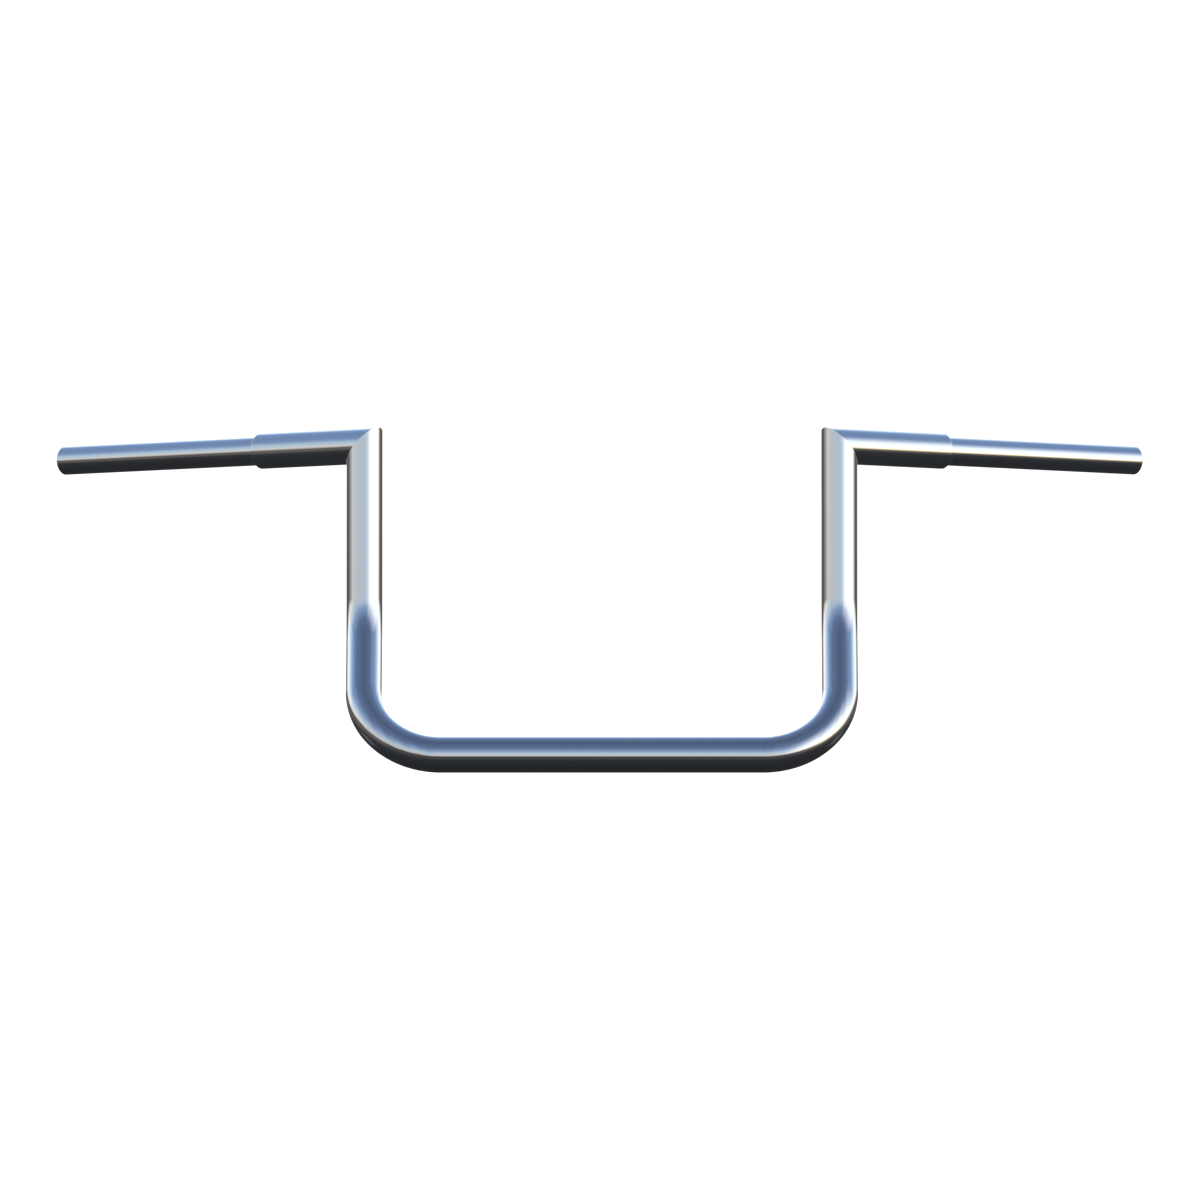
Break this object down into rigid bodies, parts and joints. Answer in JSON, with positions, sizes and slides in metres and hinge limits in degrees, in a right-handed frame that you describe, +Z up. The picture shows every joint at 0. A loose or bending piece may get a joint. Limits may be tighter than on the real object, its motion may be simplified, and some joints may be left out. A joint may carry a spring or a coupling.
{
  "type": "ape hanger handlebar",
  "caption": "Chromed tubular handlebar: straight base, tall risers that bend upright, mitred arms swept back, and narrower grip ends.",
  "frame": {"origin": "middle of the base tube, on its axis, where the riser clamps hold it", "axes": "+X along the base tube to the clutch side (the rider's left), +Y to the rear, towards the rider, +Z up; the bar is shown tilted back by 15 degrees in its clamps"},
  "size_m": [0.9676, 0.3713, 0.2797],
  "materials": {
    "chrome": "mirror-polished chrome plate"
  },
  "bodies": {
    "root": {"center_bar": "chrome", "throttle_arm": "chrome", "clutch_arm": "chrome", "throttle_grip_tube": "chrome", "clutch_grip_tube": "chrome"}
  },
  "joints": []
}
